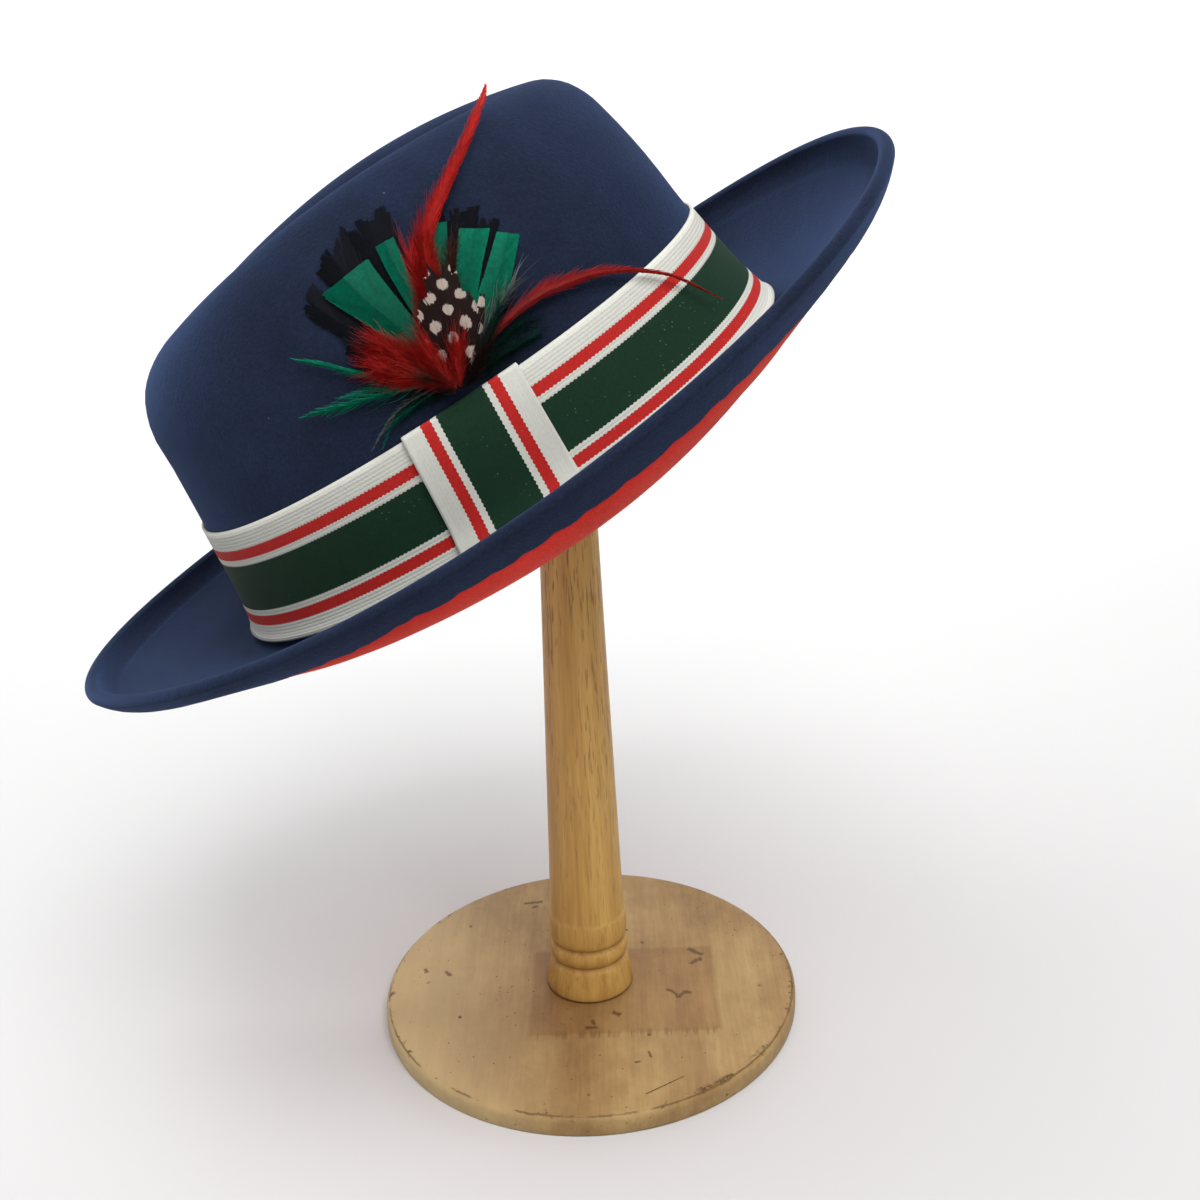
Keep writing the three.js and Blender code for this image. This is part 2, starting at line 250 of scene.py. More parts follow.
def line_mark(finish, x0, y0, x1, y1, width):
    """Mask of a mark from one point of the top to another, its edges a little uneven."""
    half = math.hypot(x1 - x0, y1 - y0) / 2
    turn = math.degrees(math.atan2(y1 - y0, x1 - x0))
    along, across, _ = finish.axes(finish.place(at=((x0 + x1) / 2, (y0 + y1) / 2, 0), turn=turn))
    rough = finish.noise(0.7, 3, 0.7)
    across = finish.plus(finish.math("ABSOLUTE", across), finish.times(rough, 3 * width))
    along = finish.plus(finish.math("ABSOLUTE", along), rough)
    return finish.times(finish.rise(across, 3.4 * width, 2.0 * width), finish.rise(along, half + 1, half))


def base_wood():
    wood = Finish("base_wood", {"Specular IOR Level": 0.3})
    blotch = wood.noise((0.028, 0.02, 0.03), 6, 0.65)
    grain = wood.noise((0.13, 0.009, 0.06), 4, turn=GRAIN_TURN)
    fine = wood.noise((0.9, 0.05, 0.4), 3, turn=GRAIN_TURN)
    tone = wood.ramp(blotch, BASE_TONES)
    for share, streaks in ((0.28, grain), (0.14, fine)):
        tone = wood.darken(share, tone, streaks, 0.36, 0.6, srgb(176, 144, 108))
    flat_x, flat_y, _ = wood.axes(wood.place())
    # Painted light: the left side of the top is painted paler, standing in for more light falling there
    tone = wood.cover(tone, wood.rise(flat_x, PAINTED_LIGHT_FROM, PAINTED_LIGHT_TO), 0.55, srgb(216, 194, 146))

    # Square stain round the post, its front edge drawn out in short dashes
    x, y, _ = wood.axes(wood.place(at=(*STAIN_MIDDLE, 0), turn=STAIN_TURN))
    half_long, half_deep = (side / 2 for side in STAIN_SIZE)
    dashes = wood.noise((0.42, 0.03, 0.1), 2, turn=STAIN_TURN)
    aside = wood.math("ABSOLUTE", x)
    front = wood.plus(y, half_deep)
    inside = wood.rise(wood.plus(front, wood.times(dashes, 6.0)), 2.0, 4.0)
    for value, half in ((aside, half_long), (y, half_deep)):
        inside = wood.times(inside, wood.rise(value, half + 1.2, half - 1.2))
    tone = wood.cover(tone, inside, 0.55, srgb(214, 190, 170), "MULTIPLY")
    fringe = wood.times(wood.rise(wood.math("ABSOLUTE", front), 3.2, 1.6), wood.rise(dashes, 0.5, 0.62))
    fringe = wood.times(fringe, wood.rise(aside, half_long + 1, half_long))
    tone = wood.cover(tone, fringe, 0.45, srgb(120, 84, 50))

    # Scratch and bruises, then specks in some patches and finer pits in the others
    marks = line_mark(wood, *SCRATCH)
    for bruise in BRUISES:
        marks = wood.larger(marks, wood.times(line_mark(wood, *bruise), BRUISE_DEPTH))
    patchy = wood.rise(wood.noise(0.035, 3, at=(9, 4, 0)), 0.46, 0.6)
    specks = wood.rise(wood.spots((0.12, 0.09, 0.12)), 0.11, 0.05)
    marks = wood.larger(marks, wood.times(specks, patchy))
    pits = wood.rise(wood.spots((0.3, 0.22, 0.3), at=(2, 5, 0)), 0.11, 0.05)
    marks = wood.larger(marks, wood.times(pits, wood.minus(1.0, patchy)))

    # Broken dark line along the rounded edge, and chips just inside it
    radius = wood.hypot(flat_x, flat_y)
    chips = wood.noise((0.3, 0.3, 0.5), 6, 0.75)
    broken = wood.noise(0.05, 3, at=(31, 0, 0))
    wander = wood.plus(radius, wood.times(chips, 1.4))
    line = wood.rise(wood.away(wander, BASE_RADIUS - 0.6), 0.5, 0.1)
    line = wood.times(line, wood.rise(broken, 0.4, 0.5))
    ring = wood.times(
        wood.rise(radius, BASE_RADIUS - 4.0, BASE_RADIUS - 2.0),
        wood.rise(radius, BASE_RADIUS - 0.3, BASE_RADIUS - 1.2),
    )
    worn = wood.times(ring, wood.rise(wood.plus(chips, broken), 1.1, 1.2))
    marks = wood.larger(marks, wood.larger(wood.times(line, 0.75), worn))
    wood.give("Base Color", wood.cover(tone, marks, 0.85, srgb(86, 57, 24)))
    wood.give("Roughness", wood.between(blotch, 0.42, 0.6))
    wood.relief(wood.minus(wood.times(fine, 0.25), marks), 0.22)
    return wood.material


base_profile = [(0, 0), *[(BASE_RADIUS - step, up) for step, up in BASE_FOOT]]
base_profile += quarter(BASE_RADIUS, BASE_HEIGHT, BASE_ROUND)
base_profile += [(BASE_RADIUS - BASE_ROUND - TOP_RING, BASE_HEIGHT)]
base_profile += [(BASE_RADIUS * share, BASE_HEIGHT) for share in TOP_SHARES]
piece("stand_base_wood", turned(base_profile, BASE_STEPS), base_wood(), "stand_base")

# Stand post: a straight-grained post turned with a collar, a bead and a flared foot.
# Its foot is glued to the base, and its rounded tip holds up the crown from inside.
POST_FOOT = 8.3
POST_TOP = 343.7
POST_TIP = 7.5
POST_TIP_STEPS = 8
POST_UNDER = 12.0
POST_STEPS = 72
# Height over the foot and radius of the turning
POST_TURNING = (
    (0, 16.3), (0.5, 16.9), (1.4, 17.05), (4, 16.8), (8, 16.1), (11, 15.4), (12.4, 14.9), (13.1, 14.2),
    (13.6, 14.0), (14.2, 14.4), (15.2, 15.0), (16.4, 15.35), (17.5, 15.4), (18.6, 15.3), (19.8, 14.9),
    (20.8, 14.3), (21.4, 14.1), (22, 14.35), (22.6, 14.85), (24, 15.15), (26.5, 15.3), (29.5, 15.25),
    (31.6, 15.1), (32.4, 14.95), (32.9, 14.6), (33.6, 14.45), (38, 14.33), (60, 13.75), (100, 12.75),
    (140, 11.7), (165, 11.1), (240, 9.4), (300, 8.1), (326, 7.6),
)
POST_GROOVES = (13.6, 21.4)
POST_TONES = ((0.3, srgb(178, 130, 64)), (0.5, srgb(200, 156, 82)), (0.7, srgb(214, 174, 98)))


def post_wood():
    wood = Finish("post_wood", {"Specular IOR Level": 0.4})
    grain = wood.noise((0.2, 0.2, 0.006), 5)
    fine = wood.noise((1.4, 1.4, 0.04), 2)
    tone = wood.darken(0.16, wood.ramp(grain, POST_TONES), fine, 0.35, 0.6, srgb(176, 140, 98))
    _, _, height = wood.axes(wood.place())
    bands = wood.rise(wood.noise((0.07, 0.07, 0.012), 3, at=(0, 0, 40)), 0.34, 0.5)
    upper = wood.rise(height, 40.0, 190.0)
    pores = wood.rise(wood.noise((1.3, 1.3, 0.1), 1), 0.57, 0.65)
    pores = wood.times(wood.times(pores, bands), wood.plus(upper, 0.4))
    tone = wood.cover(tone, pores, 0.5, srgb(112, 70, 30))
    # Darker in the two turned grooves and at the foot, where the post meets the base
    grooves = wood.larger(*[wood.rise(wood.away(height, POST_FOOT + up), 1.5, 0.2) for up in POST_GROOVES])
    foot = wood.rise(height, POST_FOOT + 1.4, POST_FOOT + 0.2)
    darker_grooves_and_foot = wood.larger(wood.times(grooves, 0.45), wood.times(foot, 0.6))
    wood.give("Base Color", wood.mix(darker_grooves_and_foot, tone, srgb(128, 84, 44)))
    wood.give("Roughness", wood.between(grain, 0.38, 0.58))
    wood.relief(wood.minus(wood.times(fine, 0.4), pores), 0.1)
    return wood.material


post_profile = [(0, POST_FOOT), (POST_UNDER, POST_FOOT)]
post_profile += [(radius, POST_FOOT + up) for up, radius in POST_TURNING]
post_profile += quarter(POST_TIP, POST_TOP, POST_TIP, POST_TIP_STEPS)
piece("stand_post_wood", turned(post_profile, POST_STEPS), post_wood(), "stand_post")

# Crown and brim: one shell of navy wool felt, blocked to an oval crown with a closed dent along
# its top. The brim is curled up all round, and its edge is turned under to a cut border.
TILT = math.radians(29.4)
HAT_AT = (-18.8, 0.0, 225.3)
FELT = 1.6
FELT_COLUMNS = 288
# Rings of the upper face from the rim to the middle of the dent: the ring's middle, half length
# and half width, then its height over the foot of the crown at the front, the side and the back
RINGS = {
    "rim": (-0.4, 160.6, 117.5, 18.5, 15, 29.2),
    "curl": (-1.2, 158, 115.6, 13.2, 9.4, 23),
    "fold": (-1.4, 152.6, 111.6, 9.6, 4.4, 16.8),
    "dish": (-1.2, 139.5, 103.4, 5.6, -1.4, 7.4),
    "flat": (-1.2, 123, 95, 1, -3.5, 0.3),
    "break": (-1, 109.8, 88.6, -2.6, -3.5, -2.6),
    "root": (-1.2, 105.3, 85.8, 0, 0, 0),
    "low": (-1.3, 103.4, 84.6, 6, 6, 6),
    "band": (-2, 96.4, 81.6, 40, 40, 40),
    "wall": (-2, 93.2, 76.5, 61, 63, 62),
    "upper": (-2.8, 90.2, 69.5, 76, 82, 79),
    "round": (-1.5, 85.9, 62.5, 85.5, 94.5, 88),
    "crest": (0, 79.6, 55.5, 91.2, 102.6, 94.6),
    "ridge": (0.5, 72, 48.5, 94, 106, 98.8),
    "lip": (0.8, 64, 41.5, 93, 104.5, 98.6),
    "dent wall": (1.5, 54, 33, 86, 97, 91.5),
    "dent foot": (1.5, 42, 24, 81, 88, 85),
    "floor": (1.5, 24, 13, 80, 83, 82.5),
    "middle": (1.5, 0, 0, 81, 81, 81),
}
RING = {name: i for i, name in enumerate(RINGS)}
LAST_RING = len(RINGS) - 1
# Slow unevenness of the blocked felt: height, waves round the hat, their shift and shift per ring
UNEVEN = ((0.3, 2, 0.6, 0.45), (0.25, 3, -1.1, -0.6))
# The brim's lift between near side and front: height, then turn from the back and its width in radians
FRONT_LIFT = (1.9, -2.56, 0.55)
# Local bends of the brim: height, turn from the back and its width, ring number and its width
BENDS = (
    (3.3, -2.29, 0.2, 2.8, 1.3),
    (6.5, -0.58, 0.49, 3.2, 1.1),
    (2.5, 0.55, 0.45, 3.0, 1.1),
    (-1.4, -1.4, 0.4, 3.2, 1.1),
)
# How far the rim is drawn in at the back, and over what turn
BACK_DRAWN = (1.6, 0.0, 0.5)
# The rolled hem: its rise over the upper face and fall under it, and the ring number where each ends
HEM_UP = 1.5
HEM_UP_END = 1.2
HEM_DOWN = 2.7
HEM_PUFF = 1.4
HEM_PUFF_END = 1.5
HEM_START = 3
RIM_OUT = -0.4
RIM_RING = 0.3
# The crease inside the hem: depth, ring number and its width, then the share that is lost at a turn
HEM_CREASE = (1.5, 1.6, 0.4)
CREASE_LOST = (0.85, 0.6, 0.8)
# Width of the turned-under border by turn in degrees from the back
BORDER = (
    (-180, 14), (-142, 17), (-130, 15.5), (-121, 11), (-105, 9.8), (-90, 11), (-76, 12.5), (-62, 11),
    (-47, 11.5), (-38, 10.5), (-31, 11), (-25, 13.5), (-15, 15), (90, 14.5), (180, 14),
)
BORDER_RAGGED = 1.3
BORDER_WAVES = (5, 11, 23)
# Rings from the ragged edge to the first even row
EVEN_FROM = 0.5


def smooth_run(rows, lengths):
    """Function of a fractional row number that runs smoothly through rows that far apart."""
    rows = np.asarray(rows, float)
    slopes = np.diff(rows, axis=0) / lengths[:, None]
    before, after = lengths[:-1, None], lengths[1:, None]
    middle = (after * slopes[:-1] + before * slopes[1:]) / (before + after)
    tangents = np.concatenate((slopes[:1], middle, slopes[-1:]))

    def at(number):
        i = np.clip(np.floor(number).astype(int), 0, len(rows) - 2)
        t = (number - i)[..., None]
        span = lengths[i][..., None]
        rest = 1 - t
        ends = rows[i] * rest**2 * (1 + 2 * t) + rows[i + 1] * t**2 * (1 + 2 * rest)
        return ends + span * rest * t * (tangents[i] * rest - tangents[i + 1] * t)

    return at


ring_rows = np.array(list(RINGS.values()), float)
ring_steps = np.diff(ring_rows, axis=0)
ring_lengths = sum(np.hypot(ring_steps[:, 1 + (k == 4)], ring_steps[:, k]) for k in (3, 4, 5)) / 3
ring_at = smooth_run(ring_rows, ring_lengths)


def swell(turn, middle, width):
    """Soft bump round the hat, 1 at its middle."""
    return np.exp(-((np.mod(turn - middle + math.pi, math.tau) - math.pi) / width) ** 2)


def felt_point(number, turn):
    """Upper face of the felt in the hat's own frame, by ring number and turn from the back."""
    middle, length, width, front, side, back = np.moveaxis(ring_at(number), -1, 0)
    ends = (front + back) / 4 - side / 2
    height = side + ends + (back - front) / 2 * np.cos(turn) + ends * np.cos(2 * turn)
    uneven = sum(up * np.sin(waves * turn + shift + lag * number) for up, waves, shift, lag in UNEVEN)
    settled = np.clip((LAST_RING - number) / 4, 0, 1)
    lift, *where = FRONT_LIFT
    sprung = lift * swell(turn, *where) * np.clip((4.5 - number) / 3, 0, 1)
    for up, at, wide, ring, ring_wide in BENDS:
        sprung = sprung + up * swell(turn, at, wide) * np.exp(-((number - ring) / ring_wide) ** 2)
    height = height + uneven * settled + sprung
    drawn, *where = BACK_DRAWN
    length = length - drawn * swell(turn, *where) * np.clip(1 - number / 2, 0, 1)
    return np.stack((middle + length * np.cos(turn), width * np.sin(turn), height), -1)


def off_felt(number, turn, distance):
    """Point at a distance off the felt's upper face, in metres in the stand's frame."""
    number, turn, distance = np.broadcast_arrays(*[np.asarray(x, float) for x in (number, turn, distance)])
    small = 0.004
    inner = np.minimum(number, LAST_RING - 2 * small)
    along = felt_point(inner + small, turn) - felt_point(inner - small, turn)
    round_ = felt_point(inner, turn + small) - felt_point(inner, turn - small)
    normal = np.cross(round_, along)
    normal /= np.linalg.norm(normal, axis=-1, keepdims=True)
    p = felt_point(number, turn) + normal * distance[..., None]
    c, s = math.cos(TILT), math.sin(TILT)
    tilted = np.stack((p[..., 0] * c - p[..., 2] * s, p[..., 1], p[..., 0] * s + p[..., 2] * c), -1)
    return (tilted + HAT_AT) * MM


def draped(columns, rows, place):
    """Grid bent to place(across, along), both 0 to 1, with its seams and poles merged."""
    bm = bmesh.new()
    bm.loops.layers.uv.new("weave")
    bmesh.ops.create_grid(bm, x_segments=columns, y_segments=rows, size=0.5, calc_uvs=True)
    across, along, _ = np.array([v.co for v in bm.verts]).T
    for v, point in zip(bm.verts, place(across + 0.5, along + 0.5)):
        v.co = point
    bmesh.ops.remove_doubles(bm, verts=bm.verts, dist=1e-6)
    bmesh.ops.recalc_face_normals(bm, faces=bm.faces)
    return bm


def shell(rows, ragged):
    """Closed shell round the hat through rows of ring number, ragged share, distance and any crease."""
    rows = np.array([(*row, 0)[:4] for row in rows], float)
    lost, *where = CREASE_LOST

    def place(across, along):
        number, share, distance, crease = rows[np.rint(along * (len(rows) - 1)).astype(int)].T
        column = np.rint(across * FELT_COLUMNS).astype(int) % FELT_COLUMNS
        turn = math.tau * column / FELT_COLUMNS
        pressed = crease * (1 - lost * swell(turn, *where))
        return off_felt(number + share * ragged[column], turn, distance - pressed)

    return draped(FELT_COLUMNS, len(rows) - 1, place)


def felt_finish(name, deep, mid, light, tint):
    """Matt felt with a short nap, cloudy dye, a sheen at its edges and a little lint."""
    felt = Finish(name, {
        "Roughness": 0.94, "Specular IOR Level": 0.15, "Sheen Weight": 0.62, "Sheen Roughness": 0.43,
        "Sheen Tint": tint,
    })
    cloudy = felt.noise(0.03, 3)
    fibres = felt.noise(0.9, 4, 0.8)
    hairs = felt.noise((1.0, 1.7, 1.3), 3, 0.75, turn=20)
    nap = felt.plus(felt.times(fibres, 0.6), felt.times(hairs, 0.4))
    blend = felt.plus(felt.times(cloudy, 0.35), felt.times(nap, 0.65))
    tone = felt.ramp(blend, [(0.4, deep), (0.5, mid), (0.6, light)])
    lint = felt.rise(felt.spots(0.08, at=(3, 7, 5)), 0.026, 0.012)
    felt.give("Base Color", felt.cover(tone, lint, 0.4, srgb(150, 145, 155)))
    felt.relief(nap, 0.5)
    return felt.material


def puffed(number, end):
    """Share of the hem's roll left at a ring number, 1 at the rim and 0 from end on."""
    return (1 + np.cos(math.pi * np.clip(number / end, 0, 1))) / 2


def hem_over(number):
    """Rise of the hem over the felt's upper face."""
    return HEM_UP * puffed(number, HEM_UP_END)


def hem_under(number):
    """Depth of the hem's underside below the felt's upper face."""
    return HEM_DOWN + HEM_PUFF * puffed(number, HEM_PUFF_END)


def hem_crease(number):
    depth, ring, wide = HEM_CREASE
    return depth * np.exp(-((number - ring) / wide) ** 2)


# The border's cut edge, as a mean ring number and its ragged part at each column
hem_random = np.random.default_rng(7)
hem_turns = np.linspace(0, math.tau, FELT_COLUMNS, False)
hem_wave = sum(np.sin(k * hem_turns + 2.3 * k) for k in BORDER_WAVES) / len(BORDER_WAVES)
border_wide = np.interp(np.degrees(np.mod(hem_turns + math.pi, math.tau) - math.pi), *zip(*BORDER))
border_wide += (hem_random.uniform(-0.6, 0.6, FELT_COLUMNS) + hem_wave * 0.6) * BORDER_RAGGED
from_rim = np.concatenate(([0], np.cumsum(ring_lengths)))
border_rings = np.interp(border_wide, from_rim, np.arange(LAST_RING + 1))
border = border_rings.mean()
border_ragged = border_rings - border

# Rows from the dent's middle over the crown, up the hem, round the rim, back to the border and inside
rim_radius = (hem_over(RIM_RING) + hem_under(RIM_RING)) / 2
rim_start = (rim_radius - RIM_OUT) / ring_lengths[0]
hem_rings = np.linspace(HEM_START, rim_start, 34)[1:]
under_rings = (
    (rim_start, 0), (0.6, 0), (0.8, 0), (1.0, 0.05), (1.2, 0.2), (1.4, 0.4), (1.6, 0.7),
    (border - 0.1, 0.9), (border - 0.04, 0.97), (border, 1),
)
felt_rows = [(number, 0, 0) for number in np.linspace(LAST_RING, HEM_START, 46)]
felt_rows += [(number, 0, hem_over(number), hem_crease(number)) for number in hem_rings]
for turn in np.linspace(0, math.pi, 17)[1:-1]:
    number = rim_start - math.sin(turn) * rim_radius / ring_lengths[0]
    felt_rows.append((number, 0, (1 + math.cos(turn)) * rim_radius - hem_under(RIM_RING)))
felt_rows += [(number, share, -hem_under(number)) for number, share in under_rings]
felt_rows += [(border + 0.02, 1, -HEM_DOWN * 0.9), (border + 0.02, 1, -FELT)]
felt_rows += [(number, 0, -FELT) for number in np.linspace(border + EVEN_FROM, LAST_RING, 40)]
navy_felt = felt_finish(
    "navy_felt", srgb(18, 24, 39), srgb(23, 31, 50), srgb(29, 39, 61), srgb(92, 120, 178)
)
piece("felt_crown_and_brim", shell(felt_rows, border_ragged), navy_felt, "felt_body")

# Red inner layer: a second, thinner felt under the brim and inside the crown, bonded to the navy one.
# It starts at the cut border and follows the shell to the middle of the dent.
LINING_TOP = 1.9
LINING_FOOT = 2.5
LINING_BEVEL = 0.2
LINING_CLEAR = 0.03
lining_start = border + LINING_CLEAR
lining_down = np.linspace(LAST_RING, lining_start + EVEN_FROM, 44)
lining_rows = [(number, 0, -LINING_FOOT) for number in lining_down]
lining_rows += [
    (lining_start + LINING_CLEAR, 1, -LINING_FOOT),
    (lining_start, 1, -LINING_FOOT + LINING_BEVEL),
    (lining_start, 1, -LINING_TOP),
]
lining_rows += [(number, 0, -LINING_TOP) for number in lining_down[::-1]]
red_felt = felt_finish(
    "red_felt", srgb(186, 32, 28), srgb(208, 42, 36), srgb(222, 56, 46), srgb(255, 150, 130)
)
piece("red_inner_felt", shell(lining_rows, border_ragged), red_felt, "red_lining")

# Sweatband: a red grosgrain strip sewn round the inside of the head opening by its lower edge.
# Its upper edge is free and leans a little into the crown.
SWEAT_OFF = 3.2
SWEAT_THICK = 1.0
SWEAT_AROUND = 575.0
SWEAT_RIB = 1.1
SWEAT_STITCH = 3.4
# Places across the strip as shares of its height: its turn up from the brim, and the seam
SWEAT_TURN_UP = 0.13
SWEAT_SEAM = 0.09
SWEAT_TONES = ((0.35, srgb(150, 24, 22)), (0.6, srgb(184, 34, 30)))


def sweatband_place(across, along):
    rings = (RING["root"] + 0.35, RING["low"], RING["low"] + 0.82)
    number = np.interp(along, (0, SWEAT_TURN_UP, 1), rings)
    lean = 0.5 * along**2 + 0.35 * np.exp(-along * 30)
    return off_felt(number, math.tau * across, -SWEAT_OFF - lean)


def grosgrain():
    cloth = Finish("red_grosgrain", {
        "Roughness": 0.7, "Specular IOR Level": 0.3, "Sheen Weight": 0.2, "Sheen Tint": srgb(255, 120, 100),
    })
    across, along, _ = cloth.weave()
    ribs = cloth.wave(across, SWEAT_RIB / SWEAT_AROUND)
    seam = cloth.rise(cloth.away(along, SWEAT_SEAM), 0.03, 0.015)
    stitch = cloth.wave(across, SWEAT_STITCH / SWEAT_AROUND)
    thread = cloth.times(seam, cloth.rise(stitch, -0.35, 0.1))
    tone = cloth.ramp(cloth.noise(0.05, 4), SWEAT_TONES)
    # Painted shade: the tone darkens to a deep red in the hollows between the ribs
    tone = cloth.mix(cloth.rise(ribs, -1.4, 0.4), srgb(120, 16, 16), tone)
    cloth.give("Base Color", cloth.mix(thread, tone, srgb(206, 60, 50)))
    cloth.relief(cloth.plus(ribs, cloth.times(thread, 3.0)), 0.14)
    return cloth.material


def thicken(made, thickness):
    """Cloth thickness grown inwards from the shown face."""
    wall = made.modifiers.new("thickness", "SOLIDIFY")
    wall.thickness = thickness * MM
    wall.offset = -1.0


sweatband_bm = draped(192, 10, sweatband_place)
thicken(piece("sweatband_ribbon", sweatband_bm, grosgrain(), "sweatband"), SWEAT_THICK)

# Hat band: a woven elastic ribbon in off-white, red and dark green, drawn round the foot of the crown.
# Its ends meet under the keeper, and its lower edge stands a little off the felt.
RIBBON_WIDE = 40.0
RIBBON_THICK = 0.9
RIBBON_OFF = 1.2
RIBBON_AROUND = 579.0
RIBBON_FLARE = 0.6
RIBBON_FLARE_TALL = 7.0
NEAR = -math.pi / 2
OFF_WHITE = srgb(214, 214, 205)
RIBBON_RED = srgb(200, 38, 34)
RIBBON_GREEN = srgb(16, 52, 33)
# Stripes from one edge of the ribbon to its middle, mirrored over to the other edge
STRIPES = ((6.5, OFF_WHITE), (3.5, RIBBON_RED), (2.0, OFF_WHITE), (8.0, RIBBON_GREEN))
# Steps of the weave, and the depth of the teeth along the stripes
TOOTH = 1.35
TOOTH_DEEP = 0.14
CORD = 1.08
DASH = 1.5
WARP = 0.62
WEFT = 0.7


def ribbon(name, length, turned_over, ribbed):
    """Striped elastic: corded white, plain weave in the colours, and finely stepped stripe edges."""
    cloth = Finish(name, {
        "Roughness": 0.75, "Specular IOR Level": 0.2, "Sheen Weight": 0.05, "Sheen Tint": srgb(230, 230, 230),
    })
    uv = cloth.weave()
    run = cloth.times(uv[1 if turned_over else 0], length)
    side = cloth.times(uv[0 if turned_over else 1], RIBBON_WIDE)
    flat = cloth.add("CombineXYZ", {0: run, 1: side})
    teeth = cloth.times(cloth.wave(run, TOOTH), TOOTH_DEEP)
    fold = cloth.math("PINGPONG", cloth.plus(side, teeth), RIBBON_WIDE / 2)
    inward = cloth.math("DIVIDE", fold, RIBBON_WIDE / 2)
    stops = []
    is_white = []
    edge = 0.0
    for width, colour in STRIPES:
        level = 255 if colour == OFF_WHITE else 0
        stops.append((edge / RIBBON_WIDE * 2, colour))
        is_white.append((edge / RIBBON_WIDE * 2, srgb(level, level, level)))
        edge += width
    tone = cloth.ramp(inward, stops, "CONSTANT")
    white = cloth.ramp(inward, is_white, "CONSTANT")

    def by_white(elsewhere, in_white):
        return cloth.add("Mix", {0: white, 2: elsewhere, 3: in_white})

    # Lengthwise cords in the white, each broken into dashes that step from cord to cord
    cords = cloth.math("ABSOLUTE", cloth.wave(side, 2 * CORD))
    lane = cloth.math("FLOOR", cloth.math("DIVIDE", side, CORD))
    dash = cloth.math("SINE", cloth.plus(cloth.times(run, math.tau / DASH), cloth.times(lane, 2.2)))
    corded = cloth.times(cords, cloth.plus(cloth.times(dash, 0.22), 0.78))
    corded = cloth.plus(cloth.times(corded, ribbed), 1 - ribbed)
    woven = cloth.times(cloth.wave(side, WARP), cloth.wave(run, WEFT))
    plain = cloth.plus(cloth.times(woven, 0.3), 0.6)
    height = by_white(plain, corded)
    # Painted shade: where the weave is low, in the hollows between cords and threads, the tone darkens towards
    # black, more in the colours than in the white
    deep = cloth.mix(by_white(0.62, 0.84), srgb(0, 0, 0), tone)
    tone = cloth.mix(cloth.rise(height, 0.05, 0.7), deep, tone)

    # Uneven yarn, pulled threads and a little dirt where the ribbon has been handled
    mottled = cloth.add("TexNoise", {"Vector": flat, "Scale": 0.9, "Detail": 3, "Roughness": 0.7})
    tone = cloth.darken(by_white(0.4, 0.16), tone, mottled, 0.3, 0.6, srgb(190, 190, 190))
    handled = cloth.rise(cloth.noise(0.03, 4), 0.4, 0.7)
    pulled = cloth.add("TexVoronoi", {"Vector": flat, "Scale": 0.5})
    pulled = cloth.times(cloth.rise(pulled, 0.13, 0.06), handled)
    tone = cloth.cover(tone, pulled, 0.5, srgb(170, 182, 168))
    cloth.give("Base Color", cloth.cover(tone, handled, 0.12, srgb(222, 216, 200), "MULTIPLY"))
    cloth.relief(height, 0.1)
    return cloth.material


def band_place(across, along):
    turn = NEAR + math.tau * across
    height = along * RIBBON_WIDE
    number = np.interp(height, (0, 6, RIBBON_WIDE), (RING["root"] + 0.1, RING["low"], RING["band"]))
    foot = np.clip(1 - height / RIBBON_FLARE_TALL, 0, 1) ** 2
    ends = RIBBON_FLARE * np.cos(turn) ** 2
    return off_felt(number, turn, RIBBON_OFF + foot * (RIBBON_FLARE + ends))


band_cloth = ribbon("striped_ribbon", RIBBON_AROUND, False, 0.7)
band = piece("hat_band_ribbon", draped(256, 20, band_place), band_cloth, "hat_band")
thicken(band, RIBBON_THICK)

# Keeper: a short length of the same ribbon set upright across the band on the near side.
# It covers the band's joint and is folded over the band's top edge.
KEEPER_TOP = (-15.8, 22.6)
KEEPER_FOOT = (-20.0, 18.4)
KEEPER_LONG = 39.4
# Height from the band's top edge and distance off the felt, from the keeper's foot to its tucked end
KEEPER_PATH = ((-39.4, 3.2), (-34.2, 2.5), (-17, 2.4), (-0.9, 2.4), (0.5, 2.3), (1.2, 1.7), (1.3, 1.1))
SELVEDGE_UP = 0.25
SELVEDGE_SHARE = 0.08
BAND_RADIUS = 96.0
CLIMB_STEPS = 500


def step_lengths(points):
    return np.linalg.norm(np.diff(np.asarray(points, float), axis=0), axis=1)


climb_rings = np.linspace(RING["root"], RING["dent wall"], CLIMB_STEPS)
climb_points = felt_point(climb_rings, np.full(CLIMB_STEPS, NEAR))
climb = np.concatenate(([0], np.cumsum(step_lengths(climb_points))))
climb -= np.interp(RING["band"], climb_rings, climb)


def on_crown(s, h, d):
    """Point on the near wall: s along the band to the back, h up from its top edge, d off the felt."""
    return off_felt(np.interp(h, climb, climb_rings), NEAR + np.asarray(s) / BAND_RADIUS, d)


keeper_run = smooth_run(KEEPER_PATH, step_lengths(KEEPER_PATH))
keeper_spread = np.concatenate(([0], np.cumsum(step_lengths(KEEPER_PATH))))
keeper_spread /= keeper_spread[-1]


def keeper_place(across, along):
    h, d = keeper_run(np.interp(along, keeper_spread, np.arange(len(KEEPER_PATH)))).T
    foot, top = (low + (high - low) * across for low, high in (KEEPER_FOOT, KEEPER_TOP))
    share = np.clip(1 + h / KEEPER_LONG, 0, 1)
    to_edge = np.abs(across - 0.5) * 2
    selvedge = SELVEDGE_UP * np.clip(to_edge - (1 - SELVEDGE_SHARE), 0, 1) / SELVEDGE_SHARE
    return on_crown(foot + (top - foot) * share, h, d + selvedge)


keeper_cloth = ribbon("striped_keeper", KEEPER_LONG, True, 0.2)
keeper = piece("keeper_ribbon", draped(40, 60, keeper_place), keeper_cloth, "band_keeper")
thicken(keeper, RIBBON_THICK)

